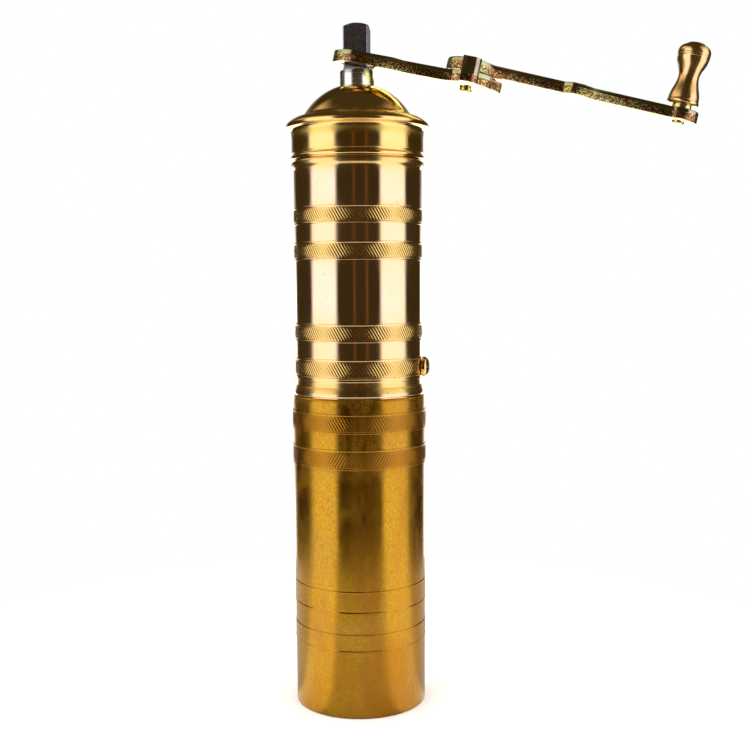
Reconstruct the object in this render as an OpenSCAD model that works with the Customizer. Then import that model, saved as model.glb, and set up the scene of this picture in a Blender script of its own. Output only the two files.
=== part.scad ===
// Hand crank coffee grinder: a slim brass cylinder mill with a folding crank.
// Frame: +Z up, origin at the middle of the cup's flat base, crank arm towards +X.

/* [Cup] */
// Outer radius of the cup near its mouth
cup_r = 24.9; // [24.8:0.1:25.2]
// Height of the cup, from the floor to its mouth
cup_h = 116.3; // [112:0.1:116.3]
// Thickness of the disc that closes the cup
cup_base_t = 1.5; // [1:0.1:3]

/* [Body] */
// Outer radius of the body tube
body_r = 23.65; // [23.6:0.01:23.7]
// Wall of the body tube
body_wall = 1; // [0.8:0.05:1]
// Height at which the body's rim sits over the cup
rim_z = 116.4; // [116.4:0.1:117]
// Height of the shoulder that the lid rests on
shoulder_z = 202.4; // [200:0.1:202.4]

/* [Lid] */
// Outer radius of the lid's flange
flange_r = 26.3; // [26:0.1:27]
// Radius of the sphere that the dome is part of
dome_r = 22.65; // [22.6:0.05:22.8]

/* [Shaft] */
// Diameter of the round shaft
shaft_d = 12.5; // [12:0.1:12.5]
// Width across the flats of the square end
square_w = 9; // [8:0.1:9]
// Height of the top of the shaft
shaft_top_z = 252.1; // [250:0.1:254]

/* [Crank] */
// Droop of the inner link below level, in degrees
inner_tilt = 10.75; // [10.5:0.05:11]
// Droop of the outer link below level, in degrees
outer_tilt = 12.9; // [12.6:0.05:13.1]
// Distance from the shaft to the hinge along the inner link
inner_len = 41; // [40.5:0.1:41.5]
// Distance from the hinge to the knob along the outer link
outer_len = 79.2; // [78:0.1:84]
// Thickness of both links
link_t = 4.2; // [4:0.05:4.2]
// Length of the knob
knob_len = 22.8; // [22.5:0.1:23.5]

/* [Burrs] */
// Coarse flutes on the cone burr
cone_flutes = 7; // [5:1:9]
// Grooves inside the burr ring
ring_grooves = 16; // [12:1:20]
// Pitch of the adjusting screw's thread
screw_pitch = 1; // [0.75:0.25:1.25]

/* [Hidden] */
$fn = 64;

// Slip fit between the sleeves and the cup or lid, and running fit of pins and threads
slip = 0.12;
run = 0.05;

// Cup
cup_foot_r = 24.47;
cup_mouth_in_r = body_r + slip;
cup_foot_in_r = 23.4;
cup_lip_r = 1.1;
sleeve_z = 98;

// Body
body_in_r = body_r - body_wall;
neck_r = 23.3;
neck_z = 211;

// Lid
skirt_in_r = neck_r + slip;
skirt_r = 24.3;
skirt_z = shoulder_z + 0.2;
flange_z = 215.2;
dome_z = 207.9;
dome_t = 1;
dome_foot_z = 218.9;
lid_seam_z = 212;

// Shaft, burrs and their bridges
shaft_r = shaft_d / 2;
shoulder_top_z = 235.3;
journal_r = 4;
burr_top_z = 137;
ball_r = 2.5;
ball_z = 108;
ball_gap = 1;
ring_z0 = 112;
ring_z1 = 134;
bridge_z = 160;
bush_z0 = 158;
bar_z = 101;
bar_t = 3;
leg_y = 20.3;
screw_z = 126.6;
washer_t = 1.2;

// Crank
link_z = 236.6;
hinge_gap = 0.9;
square_turn = -8;
square_play = 0.5;
hub_r = 9.2;
eye_r = 10.6;
outer_eye_r = 8.8;
knob_eye_r = 6.6;
bar_half = 7.3;
tab_y = 9.1;
tab_t = 3.4;
tab_z = 9;
knob_lift = 2;
rivet_r = 1.75;

// Points on an arc about (x, y) from angle a0 to a1, in n steps
function arc(x, y, r, a0, a1, n = 6) =
    [for (i = [0:n]) [x + r * cos(a0 + (a1 - a0) * i / n), y + r * sin(a0 + (a1 - a0) * i / n)]];

// Smooth half-cosine stretch of a turned profile between two [radius, height] points
function swell(a, b, n = 8) =
    [for (i = [1:n]) [a.x + (b.x - a.x) * (1 - cos(180 * i / n)) / 2, a.y + (b.y - a.y) * i / n]];

// A raised band between heights lo and hi on a wall of radius r, with a fine bead at each edge
function band(r, lo, hi) =
    [[r, lo - 0.5], [r + 0.3, lo - 0.2], [r + 0.3, lo + 0.1], [r + 0.15, lo + 0.3],
     [r + 0.15, hi - 0.3], [r + 0.3, hi - 0.1], [r + 0.3, hi + 0.2], [r, hi + 0.5]];

// A plain band between heights lo and hi, standing slightly proud of a wall of radius r
function plain_band(r, lo, hi) =
    [[r, lo - 0.2], [r + 0.14, lo + 0.1], [r + 0.14, hi - 0.1], [r, hi + 0.2]];

// Radius of the cup's slightly tapered outside at height z
function cup_out(z) = cup_foot_r + (cup_r - cup_foot_r) * z / cup_h;

// Puts children into the frame of a link: its own X runs along the link, its own Z is the link's normal
module on_inner() {
    translate([0, 0, link_z]) rotate([0, inner_tilt, 0]) children();
}

module on_outer() {
    on_inner() translate([inner_len, 0, link_t + hinge_gap]) rotate([0, outer_tilt - inner_tilt, 0]) children();
}

// ---- Cup ----

module cup_wall() {
    color([0.83, 0.62, 0.24])
    rotate_extrude()
    polygon(concat(
        [[cup_foot_in_r, 0], [cup_foot_r - 0.2, 0], [cup_foot_r, 0.2]],
        plain_band(cup_out(27.8), 24.6, 30.9),
        plain_band(cup_out(42.8), 38.8, 46.7),
        band(cup_out(94), 91.3, 97.9),
        band(cup_out(107), 104.3, 110.7),
        arc(cup_r - cup_lip_r, cup_h - cup_lip_r, cup_lip_r, 0, 90),
        [[cup_mouth_in_r, cup_h], [cup_mouth_in_r, sleeve_z - 4], [cup_foot_in_r, sleeve_z - 14]]
    ));
}

module cup_base() {
    color([0.8, 0.6, 0.24])
    cylinder(r = cup_foot_in_r, h = cup_base_t);
}

// ---- Body ----

module body_tube() {
    color([0.9, 0.7, 0.28])
    difference() {
        rotate_extrude()
        polygon(concat(
            [[body_in_r, sleeve_z], [body_r - 0.4, sleeve_z], [body_r, sleeve_z + 0.6],
             [body_r, rim_z], [24.2, rim_z]],
            arc(24.05, rim_z + 0.9, 0.5, -60, 60),
            [[24.15, rim_z + 2.3], [body_r, rim_z + 3.9]],
            band(body_r, 123.6, 130.1),
            band(body_r, 136.8, 142.7),
            band(body_r, 166.2, 172.1),
            band(body_r, 179.2, 184.8),
            [[body_r, shoulder_z - 3.7]],
            arc(23.6, shoulder_z - 1.3, 0.85, -60, 60),
            [[23.7, shoulder_z - 0.2], [23.7, shoulder_z], [neck_r, shoulder_z],
             [neck_r, neck_z - 0.5], [neck_r - 0.3, neck_z], [body_in_r, neck_z]]
        ));
        on_screw() cylinder(r = 2.05, h = 30);
    }
}

// The fixing screw's axis: it points outwards, close to the crank's side
module on_screw() {
    translate([0, 0, screw_z]) rotate([0, 0, -10]) rotate([0, 90, 0]) children();
}

module burr_screw() {
    head_z = body_r + 0.35;
    color([0.75, 0.58, 0.3])
    on_screw()
    difference() {
        union() {
            translate([0, 0, 19]) cylinder(r = 2, h = head_z - 19);
            translate([0, 0, head_z]) rotate_extrude()
            polygon(concat([[0, 0], [3.4, 0], [3.7, 0.3], [3.7, 0.8]],
                           [for (a = [15:15:90]) [3.7 * cos(a), 0.8 + 1.9 * sin(a)]]));
        }
        translate([-4, -0.5, head_z + 1.6]) cube([8, 1, 3]);
    }
}

// ---- Burrs and bridges ----

module burr_ring() {
    color([0.32, 0.31, 0.3])
    difference() {
        rotate_extrude()
        polygon([[18, ring_z0], [body_in_r, ring_z0], [body_in_r, ring_z1], [18.5, ring_z1], [15.4, 131]]);
        for (i = [0:ring_grooves - 1])
            rotate([0, 0, i * 360 / ring_grooves])
            translate([16.9, 0, 123.5]) rotate([12, -7.8, 0]) rotate([0, 0, 45])
            cube([1.7, 1.7, 40], center = true);
        on_screw() translate([0, 0, 18.5]) cylinder(r = 2.02, h = 10);
        for (side = [-1, 1])
            translate([0, side * leg_y, ring_z0 - 1]) cylinder(r = 1.55, h = 7);
    }
}

module hopper_bridge() {
    color([0.7, 0.55, 0.3])
    difference() {
        union() {
            intersection() {
                translate([-4, -30, bridge_z]) cube([8, 60, 3]);
                cylinder(r = body_in_r, h = 200);
            }
            translate([0, 0, bridge_z - 0.8]) cylinder(r = 10, h = 5.8);
        }
        translate([0, 0, bridge_z - 5]) cylinder(r = 7.8, h = 20);
    }
}

module bridge_bush() {
    color([0.86, 0.68, 0.32])
    difference() {
        union() {
            translate([0, 0, bush_z0]) cylinder(r = 9.5, h = washer_t);
            translate([0, 0, bush_z0]) cylinder(r = 7.8, h = 8.5);
        }
        translate([0, 0, bush_z0 - 1]) cylinder(r = shaft_r + run, h = 12);
    }
}

// Wire of the compression spring, swept along its helix: close coils at both ends
spring_r = 8.3;
spring_wire_r = 0.7;
spring_turns = 7;
spring_z0 = burr_top_z + washer_t + spring_wire_r + 0.02;
spring_z1 = bush_z0 - spring_wire_r - 0.02;
spring_steps = 20;
spring_sides = 8;

function spring_rise(u) = u < 1 ? 1.45 * u
    : u > spring_turns - 1 ? (spring_z1 - spring_z0) - 1.45 * (spring_turns - u)
    : 1.45 + (spring_z1 - spring_z0 - 2.9) * (u - 1) / (spring_turns - 2);

function spring_ring(k) =
    let (u = k / spring_steps, a = 360 * u)
    [for (j = [0:spring_sides - 1])
        let (b = 360 * j / spring_sides, r = spring_r + spring_wire_r * cos(b))
        [r * cos(a), r * sin(a), spring_z0 + spring_rise(u) + spring_wire_r * sin(b)]];

module spring() {
    rings = spring_turns * spring_steps;
    n = spring_sides;
    color([0.6, 0.6, 0.62])
    polyhedron(
        points = [for (k = [0:rings]) each spring_ring(k)],
        faces = concat(
            [[for (j = [0:n - 1]) j]],
            [[for (j = [n - 1:-1:0]) rings * n + j]],
            [for (k = [0:rings - 1], j = [0:n - 1])
                [k * n + j, (k + 1) * n + j, (k + 1) * n + (j + 1) % n, k * n + (j + 1) % n]]
        )
    );
}

module bottom_bridge() {
    color([0.62, 0.62, 0.63])
    difference() {
        union() {
            intersection() {
                union() {
                    translate([-4.5, -22.2, bar_z]) cube([9, 44.4, bar_t]);
                    for (side = [-1, 1])
                        translate([-4.5, side * leg_y - 1.8, bar_z]) cube([9, 3.6, ring_z0 - bar_z]);
                }
                cylinder(r = body_in_r - 0.2, h = 200);
            }
            translate([0, 0, bar_z - 1.5]) cylinder(r = 7.5, h = 6);
        }
        translate([0, 0, bar_z - 5]) cylinder(r = journal_r + run, h = 20);
        for (side = [-1, 1])
            translate([0, side * leg_y, bar_z - 1]) cylinder(r = 1.55, h = 20);
    }
}

module bridge_screws() {
    color([0.7, 0.7, 0.7])
    for (side = [-1, 1])
        translate([0, side * (leg_y), 0])
        difference() {
            union() {
                translate([0, 0, bar_z - 1.8]) cylinder(r = 2, h = 1.8);
                translate([0, 0, bar_z - 0.1]) cylinder(r = 1.5, h = ring_z0 - bar_z + 5.6);
            }
            translate([-0.35, -3, bar_z - 2.8]) cube([0.7, 6, 1.9]);
        }
}

module thrust_ball() {
    color([0.8, 0.8, 0.82])
    translate([0, 0, ball_z]) sphere(r = ball_r);
}

module adjusting_screw() {
    head_r = 9;
    color([0.8, 0.62, 0.3])
    difference() {
        union() {
            translate([0, 0, 88]) rotate_extrude()
            polygon([[0, 0], [head_r - 0.6, 0], [head_r, 0.6], [head_r, 3.9], [head_r - 0.6, 4.5],
                     [5.2, 4.5], [5.2, 6.5], [0, 6.5]]);
            translate([0, 0, 94]) cylinder(r = journal_r, h = ball_z - ball_gap - 94);
        }
        for (i = [0:11])
            rotate([0, 0, i * 30]) translate([head_r + 0.5, 0, 87]) cylinder(r = 1.3, h = 7);
        translate([-0.6, -12, 87]) cube([1.2, 24, 2.2]);
        translate([0, 0, ball_z]) sphere(r = ball_r + run);
    }
}

module cone_burr() {
    color([0.34, 0.33, 0.32])
    difference() {
        rotate_extrude()
        polygon([[journal_r, 111.5], [17.2, 111.5], [17.6, 111.9], [17, 116.5], [11, 134.5],
                 [10.5, burr_top_z], [journal_r, burr_top_z]]);
        for (i = [0:cone_flutes - 1])
            rotate([0, 0, i * 360 / cone_flutes])
            translate([14.6, 0, 127]) rotate([22, -19, 0]) rotate([0, 0, 45])
            cube([5, 5, 32], center = true);
        for (i = [0:27])
            rotate([0, 0, (i + 0.5) * 360 / 28])
            translate([17.7, 0, 113]) rotate([16, -8, 0]) rotate([0, 0, 45])
            cube([1, 1, 12], center = true);
        translate([0, 0, 131]) rotate([90, 0, 0]) cylinder(r = 1.5, h = 40, center = true);
    }
}

module drive_pin() {
    color([0.75, 0.75, 0.76])
    translate([0, 0, 131]) rotate([90, 0, 0]) cylinder(r = 1.5, h = 17, center = true);
}

module spring_washer() {
    color([0.7, 0.7, 0.71])
    translate([0, 0, burr_top_z])
    difference() {
        cylinder(r = 10, h = washer_t);
        translate([0, 0, -1]) cylinder(r = shaft_r + run, h = 4);
    }
}

module shaft() {
    color([0.75, 0.76, 0.78])
    difference() {
        union() {
            translate([0, 0, ball_z + ball_gap]) cylinder(r = journal_r, h = burr_top_z - ball_z);
            translate([0, 0, burr_top_z]) cylinder(r = shaft_r, h = shoulder_top_z - burr_top_z);
            intersection() {
                translate([0, 0, shoulder_top_z - 1])
                rotate([0, 0, square_turn])
                translate([-square_w / 2, -square_w / 2, 0])
                cube([square_w, square_w, shaft_top_z - shoulder_top_z + 1]);
                rotate_extrude()
                polygon([[0, 200], [shaft_r, 200], [shaft_r, shaft_top_z - 1.4],
                         [3.4, shaft_top_z], [0, shaft_top_z]]);
            }
        }
        translate([0, 0, ball_z]) sphere(r = ball_r + run);
        translate([0, 0, 131]) rotate([90, 0, 0]) cylinder(r = 1.5, h = 40, center = true);
    }
}

// ---- Lid ----

module lid_dome() {
    dome_foot_a = asin((dome_foot_z - dome_z) / dome_r);
    hole_r = shaft_r + 0.15;
    top_a = acos(hole_r / dome_r);
    in_r = dome_r - dome_t;
    in_foot_z = dome_foot_z - 1.2;
    color([0.85, 0.64, 0.26])
    rotate_extrude()
    polygon(concat(
        [[skirt_in_r, lid_seam_z], [skirt_r, lid_seam_z], [24.6, lid_seam_z + 0.5]],
        arc(flange_r - 0.9, flange_z, 0.9, -35, 60),
        [[24.3, 217.2], [22.7, 217.9], [20.8, 218.4]],
        arc(0, dome_z, dome_r, dome_foot_a, top_a, 14),
        [[hole_r, dome_z + sqrt(in_r * in_r - hole_r * hole_r)]],
        arc(0, dome_z, in_r, acos(hole_r / in_r), asin((in_foot_z - dome_z) / in_r), 14),
        [[21.4, 217.2], [skirt_in_r, 215.6]]
    ));
}

module lid_skirt() {
    color([0.88, 0.68, 0.28])
    rotate_extrude()
    polygon(concat(
        [[skirt_in_r, skirt_z], [24.2, skirt_z]],
        arc(24.3, skirt_z + 0.75, 0.45, -60, 60, 4),
        [[24.05, skirt_z + 1.7], [24.05, skirt_z + 2], [skirt_r, skirt_z + 2.5],
         [skirt_r, lid_seam_z], [skirt_in_r, lid_seam_z]]
    ));
}

// ---- Crank ----

module crank_inner_link() {
    color([0.78, 0.72, 0.4])
    on_inner()
    difference() {
        union() {
            cylinder(r = hub_r, h = link_t);
            linear_extrude(link_t) inner_bar();
            translate([inner_len, 0, 0]) cylinder(r = eye_r, h = link_t);
            translate([inner_len, 0, 0]) tongue();
            translate([inner_len, 0, 0]) linear_extrude(tab_z) tab();
            translate([inner_len - 3.7, -tab_y - 0.1, 0]) cube([6.9, 2, link_t]);
        }
        rotate([0, -inner_tilt, 0]) rotate([0, 0, square_turn])
        translate([-square_w / 2 - square_play, -square_w / 2 - square_play, -6])
        cube([square_w + 2 * square_play, square_w + 2 * square_play, 20]);
        rivet_axis() translate([0, 0, -12]) cylinder(r = 1.9, h = 20);
    }
}

// Bar between hub and hinge: as wide as the hub at first, then stepping in, then out to the eye
module inner_bar() {
    for (side = [-1, 1]) scale([1, side])
    polygon([[0, 0], [0, hub_r], [12.6, hub_r], [16.8, bar_half], [31.5, bar_half],
             [34.5, 8.4], [inner_len, eye_r - 1], [inner_len, 0]]);
}

// Tongue under the outer link: it tapers to a blunt end and is bent a little further down
module tongue() {
    translate([4, 0, 0]) rotate([0, 2.5, 0])
    linear_extrude(3.8)
    polygon([[-2, -8.4], [1, -8.4], [7.2, -4.9], [8.2, -3.6], [8.2, 3.6], [7.2, 4.9], [1, 8.4], [-2, 8.4]]);
}

// Plan of the stop tab that is bent up beside the hinge, rounded towards the knob's side
module tab() {
    polygon(concat([[-3.7, -tab_y], [-3.7, -tab_y - tab_t]],
                   arc(-0.1, -tab_y, tab_t, -90, -10, 5),
                   [[3.2, -tab_y]]));
}

// The hinge's axis, square to the outer link, given in the inner link's own frame
module rivet_axis() {
    translate([inner_len, 0, link_t + hinge_gap]) rotate([0, outer_tilt - inner_tilt, 0]) children();
}

module hinge_rivet() {
    under = -link_t - hinge_gap - 0.1;
    color([0.7, 0.65, 0.45])
    on_outer()
    rotate_extrude()
    polygon([[0, under - 1.4], [1.9, under - 1.4], [2.4, under - 1], [2.4, under - 0.1], [1.9, under],
             [1.9, link_t + 0.15],
             [3.9, link_t + 0.15], [3.9, link_t + 0.6], [3, link_t + 1.1], [0, link_t + 1.2]]);
}

module hinge_washer() {
    color([0.75, 0.75, 0.72])
    on_inner()
    difference() {
        translate([inner_len, 0, link_t]) cylinder(r = 4.2, h = hinge_gap - 0.2);
        rivet_axis() translate([0, 0, -3]) cylinder(r = 1.95, h = 6);
    }
}

module crank_outer_link() {
    color([0.8, 0.74, 0.42])
    on_outer()
    difference() {
        linear_extrude(link_t)
        difference() {
            union() {
                circle(r = outer_eye_r);
                outer_bar();
                translate([outer_len, 0]) circle(r = knob_eye_r);
            }
            circle(r = 1.9 + run);
        }
        translate([outer_len, 0, -1]) cylinder(r = rivet_r, h = 10);
    }
}

// Bar of the outer link: it tapers out of the hinge eye, and its kink clears the shaft when folded
module outer_bar() {
    half = 5;
    kink = 2.4;
    eye_x = outer_eye_r * sin(30);
    eye_y = outer_eye_r * cos(30);
    polygon([
        [0, -eye_y], [eye_x, -eye_y], [eye_x + (eye_y - half) / tan(30), -half],
        [34.4, -half], [37.2, -half - kink], [41.4, -half - kink], [45.7, -half],
        [outer_len - 5, -half], [outer_len, -knob_eye_r + 0.4], [outer_len, knob_eye_r - 0.4],
        [outer_len - 5, half], [46.4, half], [42.8, half - kink - 0.3], [35.8, half - kink - 0.3],
        [33.2, half], [eye_x + (eye_y - half) / tan(30), half], [eye_x, eye_y], [0, eye_y]
    ]);
}

module knob_washer() {
    color([0.78, 0.72, 0.45])
    on_outer()
    translate([outer_len, 0, link_t])
    difference() {
        cylinder(r = 3.6, h = knob_lift - 0.1);
        translate([0, 0, -1]) cylinder(r = rivet_r, h = 4);
    }
}

module knob_rivet() {
    top = link_t + knob_lift + knob_len;
    color([0.72, 0.66, 0.45])
    on_outer()
    translate([outer_len, 0, 0])
    rotate_extrude()
    polygon([[0, -0.8], [1.9, -0.8], [2.3, -0.5], [2.3, 0], [rivet_r, 0], [rivet_r, top - 1.1],
             [2.6, top - 0.9], [2.6, top - 0.1], [0, top - 0.1]]);
}

module knob() {
    bore_r = rivet_r + 0.08;
    knob_head_z = 19.3;
    color([0.86, 0.66, 0.28])
    on_outer()
    translate([outer_len, 0, link_t + knob_lift])
    rotate_extrude()
    polygon(concat(
        [[bore_r, 0], [5.2, 0], [5.6, 0.4], [5.85, 1], [5.6, 1.7]],
        swell([5.6, 1.7], [3.75, 10.6]),
        swell([3.75, 10.6], [5.8, 17.4]),
        [[5.8, 17.6], [5.95, 17.8], [5.8, 18], [5.95, 18.2]],
        [for (a = [-15:15:90]) [3.25 + 2.75 * cos(a), knob_head_z + (knob_len - knob_head_z) * sin(a)]],
        [[2.7, knob_len], [2.7, knob_len - 1], [bore_r, knob_len - 1.2]]
    ));
}

cup_wall();
cup_base();
body_tube();
burr_ring();
burr_screw();
hopper_bridge();
bridge_bush();
spring();
bottom_bridge();
bridge_screws();
thrust_ball();
adjusting_screw();
shaft();
cone_burr();
drive_pin();
spring_washer();
lid_dome();
lid_skirt();
crank_inner_link();
hinge_rivet();
hinge_washer();
crank_outer_link();
knob_washer();
knob_rivet();
knob();
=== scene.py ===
# %% [markdown]
# # A slim brass coffee mill with a folding crank
# This lesson dresses a finished mechanical model. The engineering shapes, the joints and the sizes come
# from a packed CAD model, which is loaded first and never moved. The outer metalwork is then rebuilt as
# fine surfaces, and every part gets a metal made of procedural nodes.

# %% Load the mechanical frame
import math

import bmesh
import bpy
import numpy as np
from mathutils import Matrix


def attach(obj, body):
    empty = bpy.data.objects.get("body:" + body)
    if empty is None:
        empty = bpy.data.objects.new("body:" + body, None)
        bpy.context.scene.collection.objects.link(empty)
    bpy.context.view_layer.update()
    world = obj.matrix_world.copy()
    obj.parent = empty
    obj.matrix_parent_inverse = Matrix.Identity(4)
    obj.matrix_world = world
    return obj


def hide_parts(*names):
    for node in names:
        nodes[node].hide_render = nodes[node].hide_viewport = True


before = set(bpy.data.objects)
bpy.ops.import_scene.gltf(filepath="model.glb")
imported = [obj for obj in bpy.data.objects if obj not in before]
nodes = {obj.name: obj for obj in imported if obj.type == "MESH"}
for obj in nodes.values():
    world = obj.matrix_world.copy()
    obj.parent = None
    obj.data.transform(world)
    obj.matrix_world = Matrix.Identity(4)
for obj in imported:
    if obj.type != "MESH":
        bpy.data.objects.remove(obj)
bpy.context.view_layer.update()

# %% [markdown]
# ## Working in millimetres
# Blender works in metres and a mill is drawn in millimetres, so every profile below is written in
# millimetres and scaled once, when it becomes a mesh. `MM` is that scale.
#
# Most of the mill is turned on a lathe. A turned part is one profile, a list of (radius, height) points,
# carried once round an axis. Blender's Screw modifier or the Spin tool could do that. Here the whole
# surface is worked out as one array instead, because the rolled bands need two things that those tools
# don't offer: a relief that changes round the part, and columns that lean.

# %% Put arrays into a mesh
MM = 0.001


def closed_volume(points, quads):
    """Six times the signed volume: the sum over both triangles of each face of a . (b x c). It is negative
    if the faces look inwards."""
    a, b, c, d = (points[quads[:, k]] for k in range(4))
    return np.einsum("ij,ij->", a, np.cross(b, c)) + np.einsum("ij,ij->", a, np.cross(c, d))


def mesh_object(name, points, quads, sharp=40.0, marks=None):
    """Makes an object from points in millimetres, with its faces turned outwards. A face that names a corner
    twice is a triangle. marks holds a value for each point under a name that a material can read."""
    if closed_volume(points, quads) < 0:
        quads = quads[:, ::-1]
    faces = [tuple(dict.fromkeys(q)) for q in quads.tolist()]
    mesh = bpy.data.meshes.new(name)
    mesh.from_pydata((points * MM).tolist(), [], faces)
    for title, values in (marks or {}).items():
        layer = mesh.attributes.new(title, "FLOAT", "POINT")
        layer.data.foreach_set("value", np.asarray(values, dtype=np.float32).ravel())
    mesh.shade_smooth()
    mesh.set_sharp_from_angle(angle=math.radians(sharp))
    made = bpy.data.objects.new(name, mesh)
    bpy.context.scene.collection.objects.link(made)
    print(name, "-", len(points), "points,", len(faces), "faces")
    return made


def ring_quads(rows, columns, closed):
    """Four-cornered faces of a grid whose columns always join round, and whose rows do if closed."""
    row = np.arange(rows if closed else rows - 1)[:, None] * columns
    after = (row + columns) % (rows * columns)
    column = np.arange(columns)[None, :]
    beside = (column + 1) % columns
    return np.stack([row + column, row + beside, after + beside, after + column], -1).reshape(-1, 4)


# %% [markdown]
# ### One lathe for every turned part
# On a lathe the stock turns while the tool follows a profile. `turned` does that to a list of points: each
# row of the profile becomes a ring, a row may lean a little round the axis, and it may carry waves, which are
# the ridges of a knurl. Two values are kept at every point for the metals to read later: one in the bottom of
# the knurl, where the brass gets painted shade, and "dull" wherever the polishing wheel can't reach. A
# painted image could hold the same, but it would need unwrapping and would blur when seen close.

# %% Turn a profile on the lathe
def turned(name, profile, sides, place=None, waves=0, dull_at=()):
    """A surface of revolution: point (j, k) lies at radius r_k + depth_k * cos(waves * angle_j), height z_k,
    and angle_j + lean_k round the axis, where angle_j steps evenly through a full turn.

    profile has a row (r, z) or (r, z, lean, depth) for each ring, and the last ring joins the first.
    place is a 4x4 matrix in millimetres that carries the finished part to a tilted axis.
    dull_at lists (height, reach, amount): the value "dull" is 1 on the knurl, and elsewhere it is the amount
    times a bell curve of the distance over the reach."""
    profile = np.asarray(profile, dtype=float)
    if profile.shape[1] == 2:
        profile = np.hstack([profile, np.zeros((len(profile), 2))])
    radius, height, lean, depth = profile.T
    angle = np.linspace(0, 2 * np.pi, sides, endpoint=False)
    wave = np.cos(waves * angle)[None, :] * depth[:, None]
    turn = angle[None, :] + lean[:, None]
    rings = np.stack([(radius[:, None] + wave) * np.cos(turn), (radius[:, None] + wave) * np.sin(turn),
                      np.broadcast_to(height[:, None], turn.shape)], -1)
    points = rings.reshape(-1, 3)
    # painted shade: 1 in the bottom of each knurl valley and 0 on the crests and off the knurl; the brass
    # darkens its colour there
    groove = np.where(depth[:, None] > 0, 0.5 - 0.5 * np.cos(waves * angle)[None, :], 0).ravel()
    bells = [amount * np.exp(-((height - z) / reach) ** 2) for z, reach, amount in dull_at]
    dull = np.repeat(np.maximum.reduce([1.0 * (depth > 0), *bells]), sides)
    if place is not None:
        points = points @ np.asarray(place)[:3, :3].T + np.asarray(place)[:3, 3]
    quads = ring_quads(len(profile), sides, True)
    return mesh_object(name, points, quads, marks={"groove": groove, "dull": dull})


# %% [markdown]
# ### Drawing a profile
# A profile has only the points that its shape needs. Round stretches are arcs or a half cosine. A rolled lip
# is a few points whose corners are then cut. Bezier curves would do as well, but corner cutting never
# overshoots a wall, and it needs no handles.

# %% Small pieces of profile
def arc(x, z, r, start, end, steps=8):
    """Points on a circle about (x, z), from angle start to angle end in degrees."""
    a = np.radians(np.linspace(start, end, steps + 1))
    return np.stack([x + r * np.cos(a), z + r * np.sin(a)], -1)


def swell(low, high, steps=14):
    """A half-cosine stretch between two (radius, height) points: it leaves and arrives upright."""
    t = np.linspace(0, 1, steps + 1)[1:]
    radius = low[0] + (high[0] - low[0]) * (1 - np.cos(np.pi * t)) / 2
    return np.stack([radius, low[1] + (high[1] - low[1]) * t], -1)


def eased(points, passes=2):
    """Rounds a chain of points by cutting its corners: each stretch keeps its points at 1/4 and 3/4."""
    points = np.asarray(points, dtype=float)
    for _ in range(passes):
        quarter = 0.75 * points[:-1] + 0.25 * points[1:]
        three = 0.25 * points[:-1] + 0.75 * points[1:]
        middle = np.stack([quarter, three], 1).reshape(-1, points.shape[1])
        points = np.vstack([points[:1], middle, points[-1:]])
    return points


def plain(points):
    """Adds the two columns of a smooth wall, no lean and no relief, to (radius, height) points."""
    points = np.asarray(points, dtype=float)
    return np.hstack([points, np.zeros((len(points), 2))])


print("cutting the corners of a square once gives", len(eased([[0, 0], [1, 0], [1, 1], [0, 1]], 1)), "points")

# %% [markdown]
# ## Rolled bands
# Six bands on the tubes are rolled with a slanted straight knurl, between two fine beads. On the bench a
# hardened wheel is pressed against the turning tube. A bump texture would vanish at the outline, and a
# boolean cut for each of 136 ridges would be slow, so the ridges are waves of the surface itself. They lean
# about 30 degrees, and a plain grid would need very many rings to draw that cleanly. Its columns lean with
# the ridges instead, by giving each ring of the band a little more turn, and eight rings are enough.

# %% A knurled band
RIDGES = 136
POINTS_PER_RIDGE = 5
KNURL_SIDES = RIDGES * POINTS_PER_RIDGE
KNURL_DEPTH = 0.05  # above and below the band's mean surface
KNURL_PROUD = 0.14  # the band's mean surface over the wall
KNURL_LEAN = 0.6  # run over rise of a ridge
KNURL_RINGS = 8
BEAD_SHARE = 0.5  # millimetres of the band's height that each bead takes
NO_WAVE = 1e-6  # marks the band's first and last ring as knurled, with no height of their own


def knurled(wall, low, high, side=-1):
    """The rings of one band between heights low and high, on a wall that has the given radius.

    The beads stand 0.29 mm proud. Across the knurl the lean grows evenly, by the rise times KNURL_LEAN over
    the radius, so that a ridge climbs at about 60 degrees. side is -1 or 1, the way it leans."""
    bead_low = plain([[wall, low - 1.0], [wall, low - 0.4], [wall + 0.2, low - 0.3],
                      [wall + 0.29, low - 0.08], [wall + 0.24, low + 0.16], [wall + 0.1, low + 0.35]])
    bead_high = plain([[wall + 0.1, high - 0.35], [wall + 0.24, high - 0.16], [wall + 0.29, high + 0.08],
                       [wall + 0.2, high + 0.3], [wall, high + 0.4], [wall, high + 1.0]])
    t = np.linspace(0, 1, KNURL_RINGS)
    height = low + BEAD_SHARE + (high - low - 2 * BEAD_SHARE) * t
    fade = np.clip(np.minimum(t, 1 - t) * (KNURL_RINGS - 1), 0, 1)
    lean = side * KNURL_LEAN * (height - height[0]) / wall
    radius = np.full(KNURL_RINGS, wall + KNURL_PROUD)
    field = np.stack([radius, height, lean, KNURL_DEPTH * fade + NO_WAVE], -1)
    rings = np.vstack([bead_low, field, bead_high])
    rings[-len(bead_high):, 2] += lean[-1]
    return rings


def stacked(parts):
    """Joins stretches of profile, and carries each band's lean on to the stretches that follow it."""
    lean, rows = 0.0, []
    for part in parts:
        part = np.array(part, dtype=float)
        part[:, 2] += lean
        lean = part[-1, 2]
        rows.append(part)
    return np.vstack(rows)


print(RIDGES, "ridges take", KNURL_SIDES, "columns")

# %% [markdown]
# ## The grounds cup
# The cup is a drawn brass tube, a little wider at the mouth than at the foot, with a rolled-in lip. Below its
# two knurled bands run two broad plain bands that stand a tenth of a millimetre proud. A Solidify modifier
# could thicken an outer shell, but the lip needs its own rounding, so the inside is part of the same closed
# profile. The cup pulls down off the body, so it rides on the cup's own body.

# %% Cup
CUP_FOOT, CUP_MOUTH, CUP_HEIGHT = 24.47, 24.9, 116.3


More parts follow.
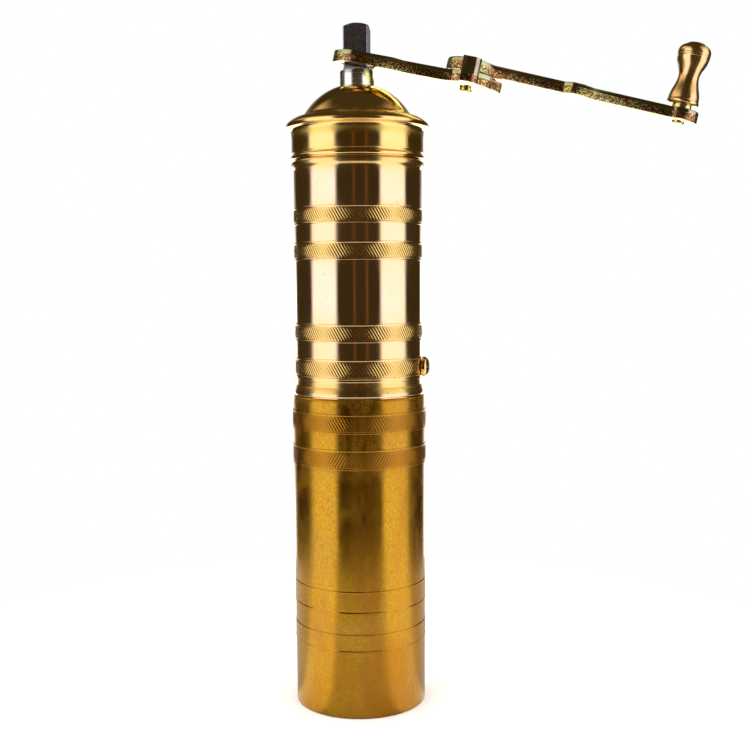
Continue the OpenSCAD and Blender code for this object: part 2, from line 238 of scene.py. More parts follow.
def cup_wall(z):
    """Outer radius of the cup at height z, on a straight taper."""
    return CUP_FOOT + (CUP_MOUTH - CUP_FOOT) * z / CUP_HEIGHT


def plain_band(low, high):
    """A broad plain band with a fine raised line at each edge. The extra rings beside each line keep the
    smooth shading of the line off the flat wall."""
    r = cup_wall((low + high) / 2)
    return plain([[r, low - 0.6], [r, low - 0.25], [r + 0.2, low - 0.05], [r + 0.22, low + 0.15],
                  [r + 0.12, low + 0.4], [r + 0.12, low + 0.7],
                  [r + 0.12, high - 0.7], [r + 0.12, high - 0.4], [r + 0.22, high - 0.15],
                  [r + 0.2, high + 0.05], [r, high + 0.25], [r, high + 0.6]])


cup_profile = stacked([
    plain([[23.4, 0], [24.27, 0], [24.4, 0.06], [CUP_FOOT, 0.22], [CUP_FOOT, 2], [cup_wall(14), 14]]),
    plain_band(24.6, 30.9),
    plain_band(38.8, 46.7),
    plain([[cup_wall(z), z] for z in (56, 68, 80, 86, 89.5)]),
    knurled(cup_wall(94), 91.3, 97.9, side=1),
    knurled(cup_wall(107), 104.3, 110.7),
    plain([[24.88, 113.9], [24.81, 114.7], [24.61, 115.4], [24.31, 116.05], [24.05, 116.3], [23.8, 116.28]]),
    plain([[23.77, 116.1], [23.77, 105], [23.77, 94], [23.4, 84], [23.4, 40], [23.4, 1.2]]),
])
cup_dull = [(91, 1.5, 0.5), (104, 1.0, 0.4), (111, 1.0, 0.4)]
cup = turned("cup_tube", cup_profile, KNURL_SIDES, waves=RIDGES, dull_at=cup_dull)
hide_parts("cup_wall")
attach(cup, "cup")

# %% [markdown]
# ## The body tube
# The body is polished. A thin sleeve at its lower end plugs into the cup, a rolled rim sits on the cup's lip,
# four knurled bands follow in two pairs, and a bead and a stepped neck carry the lid. Tube, rims and neck
# could be separate rings, but as one profile they have no seam to hide.

# %% Body
BODY, BORE = 23.65, 22.65

body_profile = stacked([
    plain([[BORE, 98], [23.25, 98], [BODY, 98.6], [BODY, 108], [BODY, 116.35], [23.95, 116.4],
           [23.95, 116.6]]),
    plain(eased([[23.95, 116.6], [24.25, 116.72], [24.48, 117.05], [24.55, 117.55], [24.42, 118.1],
                 [24.2, 118.7], [23.98, 119.3], [23.75, 119.9], [23.52, 120.3], [23.48, 120.9],
                 [23.49, 121.6], [23.55, 122.3], [BODY, 122.5]], 1)),
    knurled(BODY, 123.6, 130.1),
    knurled(BODY, 136.8, 142.7),
    plain([[BODY, 150], [BODY, 160]]),
    knurled(BODY, 166.2, 172.1),
    knurled(BODY, 179.2, 184.8),
    plain([[BODY, z] for z in (188, 192, 195, 196.2, 197.2, 198, 198.6)]),
    plain(eased([[BODY, 198.8], [23.8, 199.3], [24.2, 199.9], [24.45, 200.6], [24.45, 201.3],
                 [24.2, 201.9], [23.75, 202.2], [23.7, 202.4]], 1)),
    plain([[23.3, 202.4], [23.3, 206], [23.3, 210.5], [23.0, 211], [BORE, 211]]),
    plain([[BORE, z] for z in (180, 150, 120)]),
])
body_dull = [(120.6, 4.0, 1.0), (126.85, 4.6, 0.9), (139.75, 4.2, 0.8), (169.15, 4.2, 0.7), (182, 4.2, 0.7),
             (200.4, 2.6, 0.9)]
body = turned("body_shell", body_profile, KNURL_SIDES, waves=RIDGES, dull_at=body_dull)
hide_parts("body_tube")
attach(body, "mill")

# %% [markdown]
# ## The lid
# The lid is a straight skirt under a wide rolled flange, with a dome soldered in. Skirt and dome are two
# turned shells here, as they are on the real lid, and both ride on the lid's body. They carry no knurl, so
# fewer columns do: enough that the flange's outline stays round from close by.

# %% Skirt
LID_SIDES = 384
LID_SEAM = 212.0

skirt_profile = np.vstack([
    [[23.42, 202.6], [24.2, 202.6]],
    eased([[24.2, 202.6], [24.55, 202.8], [24.75, 203.3], [24.65, 203.75], [24.35, 204.1], [24.05, 204.35],
           [24.05, 204.75], [24.3, 205.1], [24.3, 205.8]], 1),
    eased([[24.3, 208.5], [24.3, 210.4], [24.32, 211.2], [24.42, LID_SEAM]], 1),
    [[23.42, LID_SEAM], [23.42, 207]],
])
skirt = turned("lid_band", skirt_profile, LID_SIDES, dull_at=[(LID_SEAM, 1.8, 1.0), (205, 0.8, 0.4)])
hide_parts("lid_skirt")
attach(skirt, "lid")

# %% [markdown]
# ### Dome and flange
# The dome is spun over a former. It is part of a sphere, so two arcs give its outside and its inside, and the
# flange is a chain of points between them: a short undercut, a thin rolled lip and a sloping top.

# %% Dome
DOME, DOME_MIDDLE, HOLE, DOME_WALL = 22.65, 207.9, 6.4, 1.0
DOME_FOOT, INNER_FOOT = 218.9, 217.7

foot_angle = math.degrees(math.asin((DOME_FOOT - DOME_MIDDLE) / DOME))
hole_angle = math.degrees(math.acos((HOLE + 0.25) / DOME))
hole_height = DOME_MIDDLE + math.sqrt(DOME ** 2 - HOLE ** 2)
inner = DOME - DOME_WALL
inner_hole = math.degrees(math.acos(HOLE / inner))
inner_foot = math.degrees(math.asin((INNER_FOOT - DOME_MIDDLE) / inner))
flange = eased([[24.42, LID_SEAM], [24.42, 212.6], [24.44, 213.1], [24.8, 213.6], [25.6, 213.95],
                [26.15, 214.3], [26.28, 214.8], [26.28, 215.4], [25.8, 216.0], [24.96, 216.65],
                [23.7, 217.45], [22.6, 217.9], [21.4, 218.3], [20.4, 218.55], [19.95, 218.8]], 2)
dome_profile = np.vstack([
    [[23.42, LID_SEAM]],
    flange,
    arc(0, DOME_MIDDLE, DOME, foot_angle + 1.2, hole_angle, 40),
    [[HOLE + 0.03, hole_height - 0.12], [HOLE, hole_height - 0.35]],
    arc(0, DOME_MIDDLE, inner, inner_hole, inner_foot, 20),
    [[21.4, 217.2], [23.42, 215.6]],
])
dome = turned("lid_cap", dome_profile, LID_SIDES, dull_at=[(217.6, 2.4, 1.0), (LID_SEAM, 1.0, 0.8)])
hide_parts("lid_dome")
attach(dome, "lid")

# %% [markdown]
# ## The shaft
# The steel shaft is round where it runs in its bush, and milled to a square at the top for the crank. Milling
# a square out of a rod leaves four flats joined by slivers of the round, so each cross-section is the smaller
# of a circle and a square. Written that way, round, square and the chamfered end are one surface. A boolean
# would give the same solid with a harder edge and less even faces.

# %% Shaft
SQUARE_TURN = math.radians(-8)
ROD, HALF_SQUARE = 6.25, 4.5
NO_SQUARE = 30.0  # a half width so large that only the circle counts


def softer_smaller(a, b, sharpness=14.0):
    """A smooth minimum: minus the log of the sum of e^(-sharpness a) and e^(-sharpness b), over sharpness.
    It rounds the edge where a and b cross."""
    return -np.log(np.exp(-sharpness * a) + np.exp(-sharpness * b)) / sharpness


def milled_shaft(name, rows, sides=288):
    """A rod whose section at each height is the smaller of a circle and a square, both given by rows of
    (circle radius, half width of the square, height). A fan of triangles closes each end."""
    angle = np.linspace(0, 2 * np.pi, sides, endpoint=False)
    circle, half, height = np.asarray(rows, dtype=float).T
    turn = angle - SQUARE_TURN
    flat = half[:, None] / np.maximum(np.abs(np.cos(turn)), np.abs(np.sin(turn)))
    radius = softer_smaller(circle[:, None], flat)
    level = np.broadcast_to(height[:, None], radius.shape)
    rings = np.stack([radius * np.cos(angle), radius * np.sin(angle), level], -1)
    points = np.vstack([rings.reshape(-1, 3), [[0, 0, height[0]], [0, 0, height[-1]]]])
    quads = ring_quads(len(rows), sides, False)
    column = np.arange(sides)
    beside = (column + 1) % sides
    low, high = len(points) - 2, len(points) - 1
    last = (len(rows) - 1) * sides
    under = np.stack([np.full(sides, low), beside, column, column], -1)
    over = np.stack([np.full(sides, high), last + column, last + beside, last + beside], -1)
    return mesh_object(name, points, np.vstack([quads, under, over]), sharp=35.0)


round_rows = [(2.3, 109.0), (3.9, 109.0), (4.0, 109.2), (4.0, 136.9), (4.05, 137.0), (6.2, 137.0),
              (ROD, 137.3), (ROD, 180), (ROD, 228), (ROD, 234.9), (6.15, 235.2), (6.0, 235.3)]
square_rows = [(ROD, 235.5), (ROD, 242), (ROD, 250.6), (6.15, 250.8), (4.9, 251.45), (3.6, 252.02),
               (3.3, 252.1), (1.2, 252.1)]
shaft = milled_shaft("drive_shaft", [
    *[(r, NO_SQUARE, z) for r, z in round_rows],
    (6.15, 4.62, 235.3),
    *[(r, HALF_SQUARE, z) for r, z in square_rows],
])
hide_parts("shaft")
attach(shaft, "drive")

# %% [markdown]
# ## Where the crank's parts sit
# The crank droops: each link has its own tilt, and the outer one lies on top of the inner one at the hinge.
# A matrix for each link and for the knob says where its underside starts and which way it leans. They could
# be parented to one another, but the joints already carry the finished parts, so the matrices are only used
# to place points and to measure heights through the strip.

# %% Frames of the two links
INNER_TILT, OUTER_TILT = math.radians(10.75), math.radians(12.9)
LINK_HEIGHT, LINK_THICK = 236.6, 4.2
INNER_LENGTH, OUTER_LENGTH = 41.0, 79.2
HINGE_GAP, KNOB_GAP = 0.9, 2.0

on_inner = Matrix.Translation((0, 0, LINK_HEIGHT)) @ Matrix.Rotation(INNER_TILT, 4, "Y")
to_hinge = Matrix.Translation((INNER_LENGTH, 0, LINK_THICK + HINGE_GAP))
on_outer = on_inner @ to_hinge @ Matrix.Rotation(OUTER_TILT - INNER_TILT, 4, "Y")
on_knob = on_outer @ Matrix.Translation((OUTER_LENGTH, 0, LINK_THICK + KNOB_GAP))
print("the knob's axis passes through", [round(v, 2) for v in on_knob.translation])

# %% [markdown]
# ## The knob
# The knob is a small turned spindle on a rivet at the end of the outer link. It leans with that link, so its
# profile is drawn upright first and a matrix then carries it to the link. The waist is two half cosines,
# which meet without a kink.

# %% Knob
KNOB_SIDES = 192
SAME_POINT = 1e-6  # stretches that meet repeat a point, and the second one is dropped

knob_profile = np.vstack([
    [[1.85, 0.0], [4.9, 0.0]],
    eased([[4.9, 0.0], [5.5, 0.15], [5.83, 0.7], [5.83, 1.15], [5.6, 1.7]], 2),
    swell([5.6, 1.7], [3.75, 10.6], 18),
    swell([3.75, 10.6], [5.75, 17.3], 18),
    eased([[5.75, 17.3], [5.9, 17.5], [5.93, 17.7], [5.78, 17.85], [5.93, 18.05], [5.95, 18.3],
           [5.85, 18.5]], 1),
    arc(3.25, 19.3, 2.72, -12, 78, 14),
    eased([[3.6, 22.05], [3.2, 22.5], [2.95, 22.72], [2.72, 22.6], [2.7, 21.9], [1.85, 21.8]], 1),
])
step = np.abs(np.diff(knob_profile, axis=0)).sum(1)
knob_profile = knob_profile[np.r_[True, step > SAME_POINT]]
knob = turned("turned_knob", knob_profile, KNOB_SIDES, on_knob)
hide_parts("knob")
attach(knob, "knob")

# %% [markdown]
# ## The two links
# The links are stamped from 4 mm steel strip: flat faces, a rounded upper edge where the punch came in, and a
# torn lower part of the edge where the steel broke. The CAD outline is already right, so a copy of each link
# is cleaned up and given rounded edges with the Bevel modifier. Each copy also keeps a value at every point,
# its height through the strip, which the metal uses later to tell the smooth part of the edge from the torn.

# %% Soften the stamped links
SAME_CORNER = 2e-6  # metres
SAME_PLANE, SHARP_EDGE = math.radians(1.0), math.radians(32)
EDGE_ROUND = 0.4  # millimetres


def stamped(name, node, place, body):
    """Copies a CAD node, merges its loose triangles into clean faces, stores how far through the strip each
    point lies, and rounds the edges."""
    mesh = nodes[node].data.copy()
    mesh.name = name
    work = bmesh.new()
    work.from_mesh(mesh)
    bmesh.ops.remove_doubles(work, verts=work.verts, dist=SAME_CORNER)
    bmesh.ops.dissolve_limit(work, angle_limit=SAME_PLANE, verts=work.verts, edges=work.edges)
    work.to_mesh(mesh)
    work.free()
    points = np.empty(len(mesh.vertices) * 3, dtype=np.float32)
    mesh.vertices.foreach_get("co", points)
    local = np.linalg.inv(np.array(place))
    height = (points.reshape(-1, 3) / MM) @ local[2, :3] + local[2, 3]
    layer = mesh.attributes.new("through", "FLOAT", "POINT")
    layer.data.foreach_set("value", (height / LINK_THICK).astype(np.float32))
    mesh.materials.clear()
    mesh.shade_smooth()
    made = bpy.data.objects.new(name, mesh)
    bpy.context.scene.collection.objects.link(made)
    bevel = made.modifiers.new("rounded edges", "BEVEL")
    bevel.width = EDGE_ROUND * MM
    bevel.segments = 3
    bevel.limit_method = "ANGLE"
    bevel.angle_limit = SHARP_EDGE
    bevel.harden_normals = True
    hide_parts(node)
    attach(made, body)
    print(name, "has", len(mesh.polygons), "faces before its edges are rounded")
    return made


inner_link = stamped("inner_link", "crank_inner_link", on_inner, "crank_inner")
outer_link = stamped("outer_link", "crank_outer_link", on_outer, "crank_outer")

# %% [markdown]
# ## Metals
# All the finishes are metals, so their look is mostly what they mirror and how sharply. Each material is
# therefore three choices: the tint of the bare metal and of its tarnish, a roughness that changes over the
# surface, and a very fine relief left by the tools. Patterns are measured on Object coordinates, in metres,
# so that they sit still on the part from every side.

# %% Node helpers
class Finish:
    """One material: a Principled shader with small helpers that add nodes feeding it."""

    def __init__(self, name, **constants):
        self.material = bpy.data.materials.new(name)
        self.material.use_nodes = True
        self.tree = self.material.node_tree
        self.shader = self.tree.nodes["Principled BSDF"]
        self.place = self.tree.nodes.new("ShaderNodeTexCoord")
        for socket, value in constants.items():
            self.shader.inputs[socket.replace("_", " ")].default_value = value

    def link(self, source, target):
        """Joins an output to an input."""
        self.tree.links.new(source, target)

    def noise(self, scale, stretch=(1, 1, 1), detail=4.0, roughness=0.55, distortion=0.0):
        """Noise on Object coordinates. scale counts cells per metre, and stretch multiplies it along each
        axis."""
        mapping = self.tree.nodes.new("ShaderNodeMapping")
        mapping.inputs["Scale"].default_value = stretch
        self.link(self.place.outputs["Object"], mapping.inputs["Vector"])
        made = self.tree.nodes.new("ShaderNodeTexNoise")
        made.inputs["Scale"].default_value = scale
        made.inputs["Detail"].default_value = detail
        made.inputs["Roughness"].default_value = roughness
        made.inputs["Distortion"].default_value = distortion
        self.link(mapping.outputs["Vector"], made.inputs["Vector"])
        return made.outputs["Fac"]

    def between(self, value, low, high, out_low=0.0, out_high=1.0):
        """Maps value from low..high to out_low..out_high, with soft ends."""
        made = self.tree.nodes.new("ShaderNodeMapRange")
        made.interpolation_type = "SMOOTHSTEP"
        ends = {"From Min": low, "From Max": high, "To Min": out_low, "To Max": out_high}
        for socket, number in ends.items():
            made.inputs[socket].default_value = number
        self.link(value, made.inputs["Value"])
        return made.outputs["Result"]

    def combine(self, a, b, operation="ADD"):
        """Arithmetic on two values. Either may be a plain number."""
        made = self.tree.nodes.new("ShaderNodeMath")
        made.operation = operation
        for socket, value in zip(made.inputs, (a, b)):
            if isinstance(value, (int, float)):
                socket.default_value = value
            else:
                self.link(value, socket)
        return made.outputs[0]

    def times(self, a, b):
        """The product of two values."""
        return self.combine(a, b, "MULTIPLY")

    def blend(self, amount, a, b):
        """Mixes two colours by amount. Either may be an (r, g, b) or another node's colour."""
        made = self.tree.nodes.new("ShaderNodeMix")
        made.data_type = "RGBA"
        self.link(amount, made.inputs["Factor"])
        for socket, value in zip((made.inputs[6], made.inputs[7]), (a, b)):
            if isinstance(value, tuple):
                socket.default_value = (*value, 1.0)
            else:
                self.link(value, socket)
        return made.outputs[2]

    def ramp(self, value, stops):
        """A smooth colour ramp through stops of (position, (r, g, b))."""
        made = self.tree.nodes.new("ShaderNodeValToRGB")
        made.color_ramp.interpolation = "B_SPLINE"
        while len(made.color_ramp.elements) < len(stops):
            made.color_ramp.elements.new(0.5)
        for element, (position, colour) in zip(made.color_ramp.elements, stops):
            element.position = position
            element.color = (*colour, 1.0)
        self.link(value, made.inputs["Fac"])
        return made.outputs["Color"]

    def along(self, axis):
        """The Object coordinate along "X", "Y" or "Z", in metres."""
        split = self.tree.nodes.new("ShaderNodeSeparateXYZ")
        self.link(self.place.outputs["Object"], split.inputs[0])
        return split.outputs[axis]

    def bearing(self):
        """The angle round the object's Z axis from the -Y side, in radians and without its sign."""
        front = self.times(self.along("Y"), -1.0)
        return self.combine(self.combine(self.along("X"), front, "ARCTAN2"), 0.0, "ABSOLUTE")

    def value(self, title):
        """A value that was stored at the mesh's points."""
        made = self.tree.nodes.new("ShaderNodeAttribute")
        made.attribute_name = title
        return made.outputs["Fac"]

    def relief(self, height, depth):
        """Bump: a height of 1 stands depth metres out of the surface."""
        made = self.tree.nodes.new("ShaderNodeBump")
        made.inputs["Distance"].default_value = depth
        made.inputs["Strength"].default_value = 1.0
        self.link(height, made.inputs["Height"])
        self.link(made.outputs["Normal"], self.shader.inputs["Normal"])

    def dress(self, *objects):
        """Gives the material to objects, in place of whatever they had."""
        for made in objects:
            made.data.materials.clear()
            made.data.materials.append(self.material)


print("a material has", len([name for name in vars(Finish) if not name.startswith("_")]), "helpers")

# %% [markdown]
# ### Brass
# Polished brass mirrors the studio almost sharply. A buffing wheel leaves hair-fine rings and a slow ripple,
# and handling leaves faint cloudy patches where the polish has dulled. The bottom of the knurl is darkened to
# brown as painted shade. The cup has been handled more: it is duller, deeper in colour, and has olive and
# brown clouds.

# %% Brass finishes
def brass(name, bright, dull, dark, shine, cloudiness, ring_depth, cloud=38.0, unbuffed=0.13,
          speckle=0.0, earthy=0.0):
    """A brass with clouds of dull tarnish, small dark flecks, painted brown shade in the grooves and
    hair-fine turning rings.
    Where the stored value "dull" is 1 it is golden and its roughness is unbuffed higher. Speckle is the
    amount of millimetre-sized tarnish, and earthy is how far the clouds are from bare metal."""
    metal = Finish(name, Metallic=1.0)
    cloudy = metal.noise(cloud, (1, 1, 0.45), detail=6, roughness=0.62, distortion=0.4)
    clouds = metal.between(cloudy, 0.40, 0.66)
    flecks = metal.between(metal.noise(520, detail=3), 0.66, 0.74)
    colour = metal.blend(metal.times(clouds, cloudiness), bright, dull)
    colour = metal.blend(metal.times(metal.value("dull"), 0.85), colour, dull)
    if speckle:
        spots = metal.between(metal.noise(1100, detail=4, roughness=0.7), 0.40, 0.62, 0.0, speckle)
        colour = metal.blend(spots, colour, dull)
    colour = metal.blend(metal.times(flecks, 0.35), colour, dark)
    # painted shade: the bottom of the knurl is darkened four tenths of the way to the dark colour
    colour = metal.blend(metal.times(metal.value("groove"), 0.4), colour, dark)
    metal.link(colour, metal.shader.inputs["Base Color"])
    if earthy:
        crust = metal.noise(75, (1, 1, 0.6), detail=7, roughness=0.68, distortion=0.8)
        metal.link(metal.between(crust, 0.38, 0.66, 1.0, 1.0 - earthy), metal.shader.inputs["Metallic"])
    smear = metal.between(metal.noise(90, (1, 1, 0.2), detail=5), 0.3, 0.75, shine[0], shine[1])
    rough = metal.combine(smear, metal.times(clouds, 0.08 * cloudiness))
    rough = metal.combine(rough, metal.times(metal.value("dull"), unbuffed))
    metal.link(rough, metal.shader.inputs["Roughness"])
    rings = metal.noise(1.0, (30, 30, 5200), detail=3, roughness=0.7)
    ripple = metal.times(metal.noise(55, (1, 1, 0.5), detail=1.5), 6.0)
    metal.relief(metal.combine(rings, ripple), ring_depth)
    return metal


BUFFED, TURNED = 1.2e-6, 1.6e-6  # depth in metres of the rings that the wheel and the tool leave

polished_brass = brass("polished_brass", (0.88, 0.655, 0.52), (0.84, 0.56, 0.16), (0.34, 0.18, 0.04),
                       (0.05, 0.13), 0.35, BUFFED)
golden_brass = brass("golden_brass", (0.87, 0.62, 0.29), (0.84, 0.56, 0.13), (0.30, 0.15, 0.03),
                     (0.06, 0.14), 0.35, BUFFED, unbuffed=0.2)
satin_brass = brass("satin_brass", (0.53, 0.30, 0.026), (0.45, 0.19, 0.015), (0.16, 0.08, 0.015),
                    (0.15, 0.27), 1.0, BUFFED, cloud=30.0, unbuffed=0.08, speckle=0.8, earthy=0.28)
knob_brass = brass("knob_brass", (0.88, 0.60, 0.32), (0.76, 0.44, 0.16), (0.34, 0.17, 0.04),
                   (0.19, 0.28), 0.6, TURNED, cloud=160.0)
polished_brass.dress(body)
golden_brass.dress(skirt, dome, nodes["burr_screw"])
satin_brass.dress(cup, *[nodes[n] for n in ("cup_base", "hopper_bridge", "bridge_bush", "adjusting_screw")])
knob_brass.dress(knob)
print("brass on", len([o for o in (body, skirt, dome, cup, knob) if o.data.materials]), "turned parts")

# %% [markdown]
# ### Yellow passivated zinc
# The links, rivets and the washer under the knob are zinc plated and dipped in a yellow chromate. The film is
# thin enough to show interference colours, so the steel shimmers from straw to green, pink and violet. A ramp
# on slow noise gives the colours, and the stored height through the strip roughens the torn lower part.

# %% Zinc finish
FILM = [(0.28, (0.50, 0.12, 0.12)), (0.40, (0.82, 0.46, 0.20)), (0.48, (0.92, 0.80, 0.34)),
        (0.55, (0.62, 0.82, 0.28)), (0.62, (0.92, 0.74, 0.40)), (0.74, (0.70, 0.26, 0.26))]
ZINC_RELIEF = 1.2e-5  # metres


def yellow_zinc(name, torn):
    """Iridescent zinc. If torn, the lower part of the sheared edges is rough and dark."""
    metal = Finish(name, Metallic=1.0)
    colour = metal.ramp(metal.noise(95, detail=5, roughness=0.62, distortion=1.4), FILM)
    grains = metal.noise(1500, detail=4, roughness=0.7)
    if torn:
        through = metal.value("through")
        below = metal.between(through, 0.60, 0.70, 1.0, 0.0)
        tear = metal.times(below, metal.between(through, 0.02, 0.08))
        bare = metal.between(grains, 0.48, 0.60, 0.94, 0.0)
        rolled = metal.between(through, 0.66, 0.72, 0.0, 0.6)
        colour = metal.blend(rolled, colour, (0.22, 0.30, 0.34))
        colour = metal.blend(metal.times(bare, tear), colour, (0.15, 0.045, 0.03))
        height = metal.times(grains, metal.combine(metal.times(tear, 11.0), 0.4))
        rough = metal.combine(metal.times(tear, 0.06), 0.14)
    else:
        height = grains
        rough = metal.between(grains, 0.3, 0.7, 0.18, 0.32)
    metal.link(rough, metal.shader.inputs["Roughness"])
    metal.link(colour, metal.shader.inputs["Base Color"])
    metal.relief(height, ZINC_RELIEF)
    return metal


zinc_link = yellow_zinc("zinc_strip", True)
zinc_small = yellow_zinc("zinc_rivets", False)
zinc_link.dress(inner_link, outer_link)
zinc_small.dress(nodes["hinge_rivet"], nodes["knob_washer"], nodes["knob_rivet"])
print("the zinc film runs through", len(FILM), "colours")

# %% [markdown]
# ### Steel and iron
# The shaft is ground, with light scratches round it and a pitted grey square. The springs, bridges and pins
# inside are plain bright steel, and the burrs are hardened iron, dark and slightly oily.

# %% Steel finishes
STEEL_RELIEF = 5e-6  # metres
CHROME_TOP = 0.2335  # metres over the table, where the bare chrome ends


def steel(name, tint, mark, shine, scratch, pits=0.0, square_from=None):
    """Bright steel with scratches stretched along one direction, and darker pits where pits is above 0. Below
    the height square_from, in metres, it is bare chrome."""
    metal = Finish(name, Metallic=1.0)
    scratches = metal.noise(1.0, scratch, detail=4, roughness=0.65)
    spots = metal.between(metal.noise(1300, detail=4, roughness=0.7), 0.5, 0.66)
    colour = metal.blend(metal.between(scratches, 0.35, 0.7), tint, mark)
    colour = metal.blend(metal.times(spots, pits), colour, (0.07, 0.06, 0.08))
    if square_from:
        milled = metal.between(metal.along("Z"), square_from, square_from + MM)
        colour = metal.blend(milled, (0.88, 0.88, 0.90), colour)
    metal.link(colour, metal.shader.inputs["Base Color"])
    metal.link(metal.between(scratches, 0.3, 0.7, *shine), metal.shader.inputs["Roughness"])
    metal.relief(metal.combine(scratches, metal.times(spots, 2.0 * pits)), STEEL_RELIEF)
    return metal


shaft_steel = steel("ground_steel", (0.54, 0.60, 0.92), (0.36, 0.38, 0.66), (0.14, 0.30), (60, 60, 4000), 0.6,
                    square_from=CHROME_TOP)
bright_steel = steel("bright_steel", (0.68, 0.68, 0.69), (0.55, 0.55, 0.56), (0.18, 0.30), (900, 900, 900))
burr_iron = steel("burr_iron", (0.20, 0.19, 0.18), (0.12, 0.115, 0.11), (0.32, 0.48), (1200, 1200, 1200), 0.4)
shaft_steel.dress(shaft)
inside = ("spring", "bottom_bridge", "bridge_screws", "thrust_ball", "drive_pin", "spring_washer")
bright_steel.dress(*[nodes[n] for n in inside], nodes["hinge_washer"])
burr_iron.dress(nodes["burr_ring"], nodes["cone_burr"])
print("bright steel on", len(inside) + 1, "parts")

# %% [markdown]
# ## The studio
# A mirror shows its surroundings, so lighting polished metal means arranging what it sees. Lit panels round
# the mill would stand in the way of the other views, so everything is painted on the world by direction. Two
# soft boxes stand to the left and right, parted by dark gaps with two narrow warm slits. Upright walls
# mirror directions near the horizon: one ring of stops below it, where a white table lies behind, and one
# above it, where the room behind is dim. Slopes like the dome's mirror a third ring, of two faint glows, and
# over that the ceiling is dark. Rays straight from the camera see plain white.

# %% World
HORIZON, STEEP, OVERHEAD = (-2, 6), (20, 32), (38, 62)  # degrees over which one ring gives way to the next


def by_direction(name, low_stops, high_stops, steep_stops, ceiling, strength):
    """A world whose light depends on the compass direction. Each list holds (degrees right of the camera's
    side, (r, g, b)): the first for directions below the horizon, the second for those above it and the third
    for steep ones, up to a dark ceiling. Camera rays see white."""
    world = bpy.data.worlds.new(name)
    world.use_nodes = True
    tree = world.node_tree
    made = {n.type: n for n in tree.nodes}
    place = tree.nodes.new("ShaderNodeTexCoord")
    split = tree.nodes.new("ShaderNodeSeparateXYZ")
    tree.links.new(place.outputs["Generated"], split.inputs[0])
    minus = tree.nodes.new("ShaderNodeMath")
    minus.operation = "MULTIPLY"
    minus.inputs[1].default_value = -1.0
    tree.links.new(split.outputs["Y"], minus.inputs[0])
    bearing = tree.nodes.new("ShaderNodeMath")
    bearing.operation = "ARCTAN2"
    tree.links.new(split.outputs["X"], bearing.inputs[0])
    tree.links.new(minus.outputs[0], bearing.inputs[1])
    turn = tree.nodes.new("ShaderNodeMapRange")
    turn.inputs["From Min"].default_value = -math.pi
    turn.inputs["From Max"].default_value = math.pi
    tree.links.new(bearing.outputs[0], turn.inputs["Value"])

    def round_the_horizon(stops):
        """A ramp that goes once round the compass."""
        ramp = tree.nodes.new("ShaderNodeValToRGB")
        while len(ramp.color_ramp.elements) < len(stops):
            ramp.color_ramp.elements.new(0.5)
        for element, (degrees, colour) in zip(ramp.color_ramp.elements, stops):
            element.position = (degrees + 180) / 360
            element.color = (*colour, 1.0)
        tree.links.new(turn.outputs["Result"], ramp.inputs["Fac"])
        return ramp.outputs["Color"]

    def above(low, high, under, over):
        """Goes from under to over between two elevations in degrees."""
        rise = tree.nodes.new("ShaderNodeMapRange")
        rise.interpolation_type = "SMOOTHSTEP"
        rise.inputs["From Min"].default_value = math.sin(math.radians(low))
        rise.inputs["From Max"].default_value = math.sin(math.radians(high))
        tree.links.new(split.outputs["Z"], rise.inputs["Value"])
        mix = tree.nodes.new("ShaderNodeMix")
        mix.data_type = "RGBA"
        tree.links.new(rise.outputs["Result"], mix.inputs["Factor"])
        tree.links.new(under, mix.inputs[6])
        if isinstance(over, tuple):
            mix.inputs[7].default_value = (*over, 1.0)
        else:
            tree.links.new(over, mix.inputs[7])
        return mix.outputs[2]

    walls = above(*HORIZON, round_the_horizon(low_stops), round_the_horizon(high_stops))
    walls = above(*STEEP, walls, round_the_horizon(steep_stops))
    lit = made["BACKGROUND"]
    lit.inputs["Strength"].default_value = strength
    tree.links.new(above(*OVERHEAD, walls, ceiling), lit.inputs["Color"])
    white = tree.nodes.new("ShaderNodeBackground")
    white.inputs["Color"].default_value = (1.0, 1.0, 1.0, 1.0)
    seen = tree.nodes.new("ShaderNodeLightPath")
    either = tree.nodes.new("ShaderNodeMixShader")
    tree.links.new(seen.outputs["Is Camera Ray"], either.inputs["Fac"])
    tree.links.new(lit.outputs[0], either.inputs[1])
    tree.links.new(white.outputs[0], either.inputs[2])
    tree.links.new(either.outputs[0], made["OUTPUT_WORLD"].inputs["Surface"])
    return world


GAP = (0.0155, 0.0105, 0.0035)
SLIT = (0.07, 0.028, 0.011)
BOX = (0.5, 0.485, 0.465)
TABLE = (1.0, 0.97, 0.94)
ROOM = (0.10, 0.085, 0.07)
GLOW = (0.36, 0.31, 0.20)
CEILING = (0.020, 0.014, 0.006)


def surround(back):
    """Stops round the horizon: two soft boxes, dark gaps with two narrow warm slits, and the given back."""
    return [(-179, back), (-157, back), (-148, GAP), (-94, GAP), (-87, BOX), (-42, BOX), (-36, GAP),
            (-9, GAP), (-6, SLIT), (-4, GAP), (13, GAP), (16, SLIT), (19, GAP), (38, GAP), (44, BOX),
            (90, BOX), (97, GAP), (148, GAP), (157, back), (179, back)]


glows = [(-179, GAP), (-135, GAP), (-118, GLOW), (-50, GLOW), (-38, GAP), (38, GAP), (50, GLOW),
         (112, GLOW), (128, GAP), (179, GAP)]
studio = by_direction("studio", surround(TABLE), surround(ROOM), glows, CEILING, strength=3.0)
bpy.context.scene.world = studio
print("each ring near the horizon has", len(surround(TABLE)), "stops")

# %% [markdown]
# ### Floor and fill
# A small white disc is all the ground that the mill needs. A wide plane would brighten every mirror from
# below, so even this disc looks darker to glossy rays in front and behind, where it would wash out the cup.
# It rides on the cup, because a mill is lifted out of its standing cup. The lamp overhead lights the paper
# and stays out of the mirrors.

# %% Floor and fill light
FLOOR, FLOOR_CORNERS, FLOOR_DROP = 0.22, 128, 0.0002

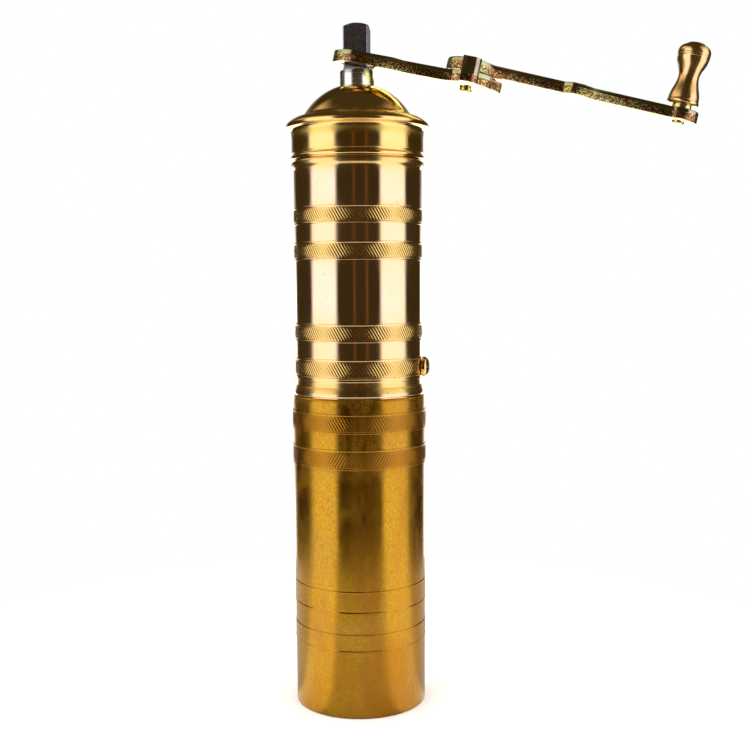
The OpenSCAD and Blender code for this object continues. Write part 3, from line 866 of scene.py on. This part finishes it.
floor_angle = np.linspace(0, 2 * np.pi, FLOOR_CORNERS + 1)[:-1]
level = np.full(FLOOR_CORNERS, -FLOOR_DROP)
rim = np.stack([FLOOR * np.cos(floor_angle), FLOOR * np.sin(floor_angle), level], -1)
floor_mesh = bpy.data.meshes.new("floor")
floor_mesh.from_pydata(rim.tolist(), [], [tuple(range(FLOOR_CORNERS))])
floor = bpy.data.objects.new("floor", floor_mesh)
bpy.context.scene.collection.objects.link(floor)
paper = Finish("pale_paper", Roughness=0.8, Specular_IOR_Level=0.1)
off_front = paper.bearing()
in_front = paper.between(off_front, 0.60, 0.80, 0.52, 1.0)
behind = paper.between(off_front, 1.50, 1.75, 1.0, 0.5)
darker = paper.combine(1.0, paper.times(in_front, behind), "SUBTRACT")
seen_by = paper.tree.nodes.new("ShaderNodeLightPath")
mirrored = paper.times(darker, seen_by.outputs["Is Glossy Ray"])
paper.link(paper.blend(mirrored, (0.9, 0.89, 0.88), (0.0, 0.0, 0.0)), paper.shader.inputs["Base Color"])
paper.dress(floor)
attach(floor, "cup")

fill = bpy.data.lights.new("overhead_fill", "AREA")
fill.shape = "DISK"
fill.size = 1.6
fill.energy = 38.0
overhead = bpy.data.objects.new("overhead_fill", fill)
overhead.location = (0, 0, 1.4)
overhead.visible_glossy = False
overhead.visible_camera = False
bpy.context.scene.collection.objects.link(overhead)
print("the floor is", round(2 * FLOOR * 100), "cm across")

# %% [markdown]
# ## Camera
# The camera stands 40 cm in front of the mill and looks down a little, so that the bands curve the way they
# do on a table. An orthographic view or a long lens would flatten them.

# %% Camera
CAMERA_AT = (0.0058, -0.399363, 0.155532)
CAMERA_TILT, CAMERA_ROLL = math.radians(85.37), -0.0059

lens = bpy.data.cameras.new("camera")
lens.sensor_width = 36.0
lens.lens = 51.08
lens.clip_start, lens.clip_end = 0.01, 20.0
camera = bpy.data.objects.new("camera", lens)
tripod = Matrix.Translation(CAMERA_AT) @ Matrix.Rotation(CAMERA_TILT, 4, "X")
camera.matrix_world = tripod @ Matrix.Rotation(CAMERA_ROLL, 4, "Z")
bpy.context.scene.collection.objects.link(camera)
bpy.context.scene.camera = camera
bpy.context.scene.view_settings.view_transform = "Standard"
print("the view is", round(math.degrees(lens.angle), 1), "degrees wide")

# Surfaces larger than the mechanical model would clip into neighbours that its own parts clear.
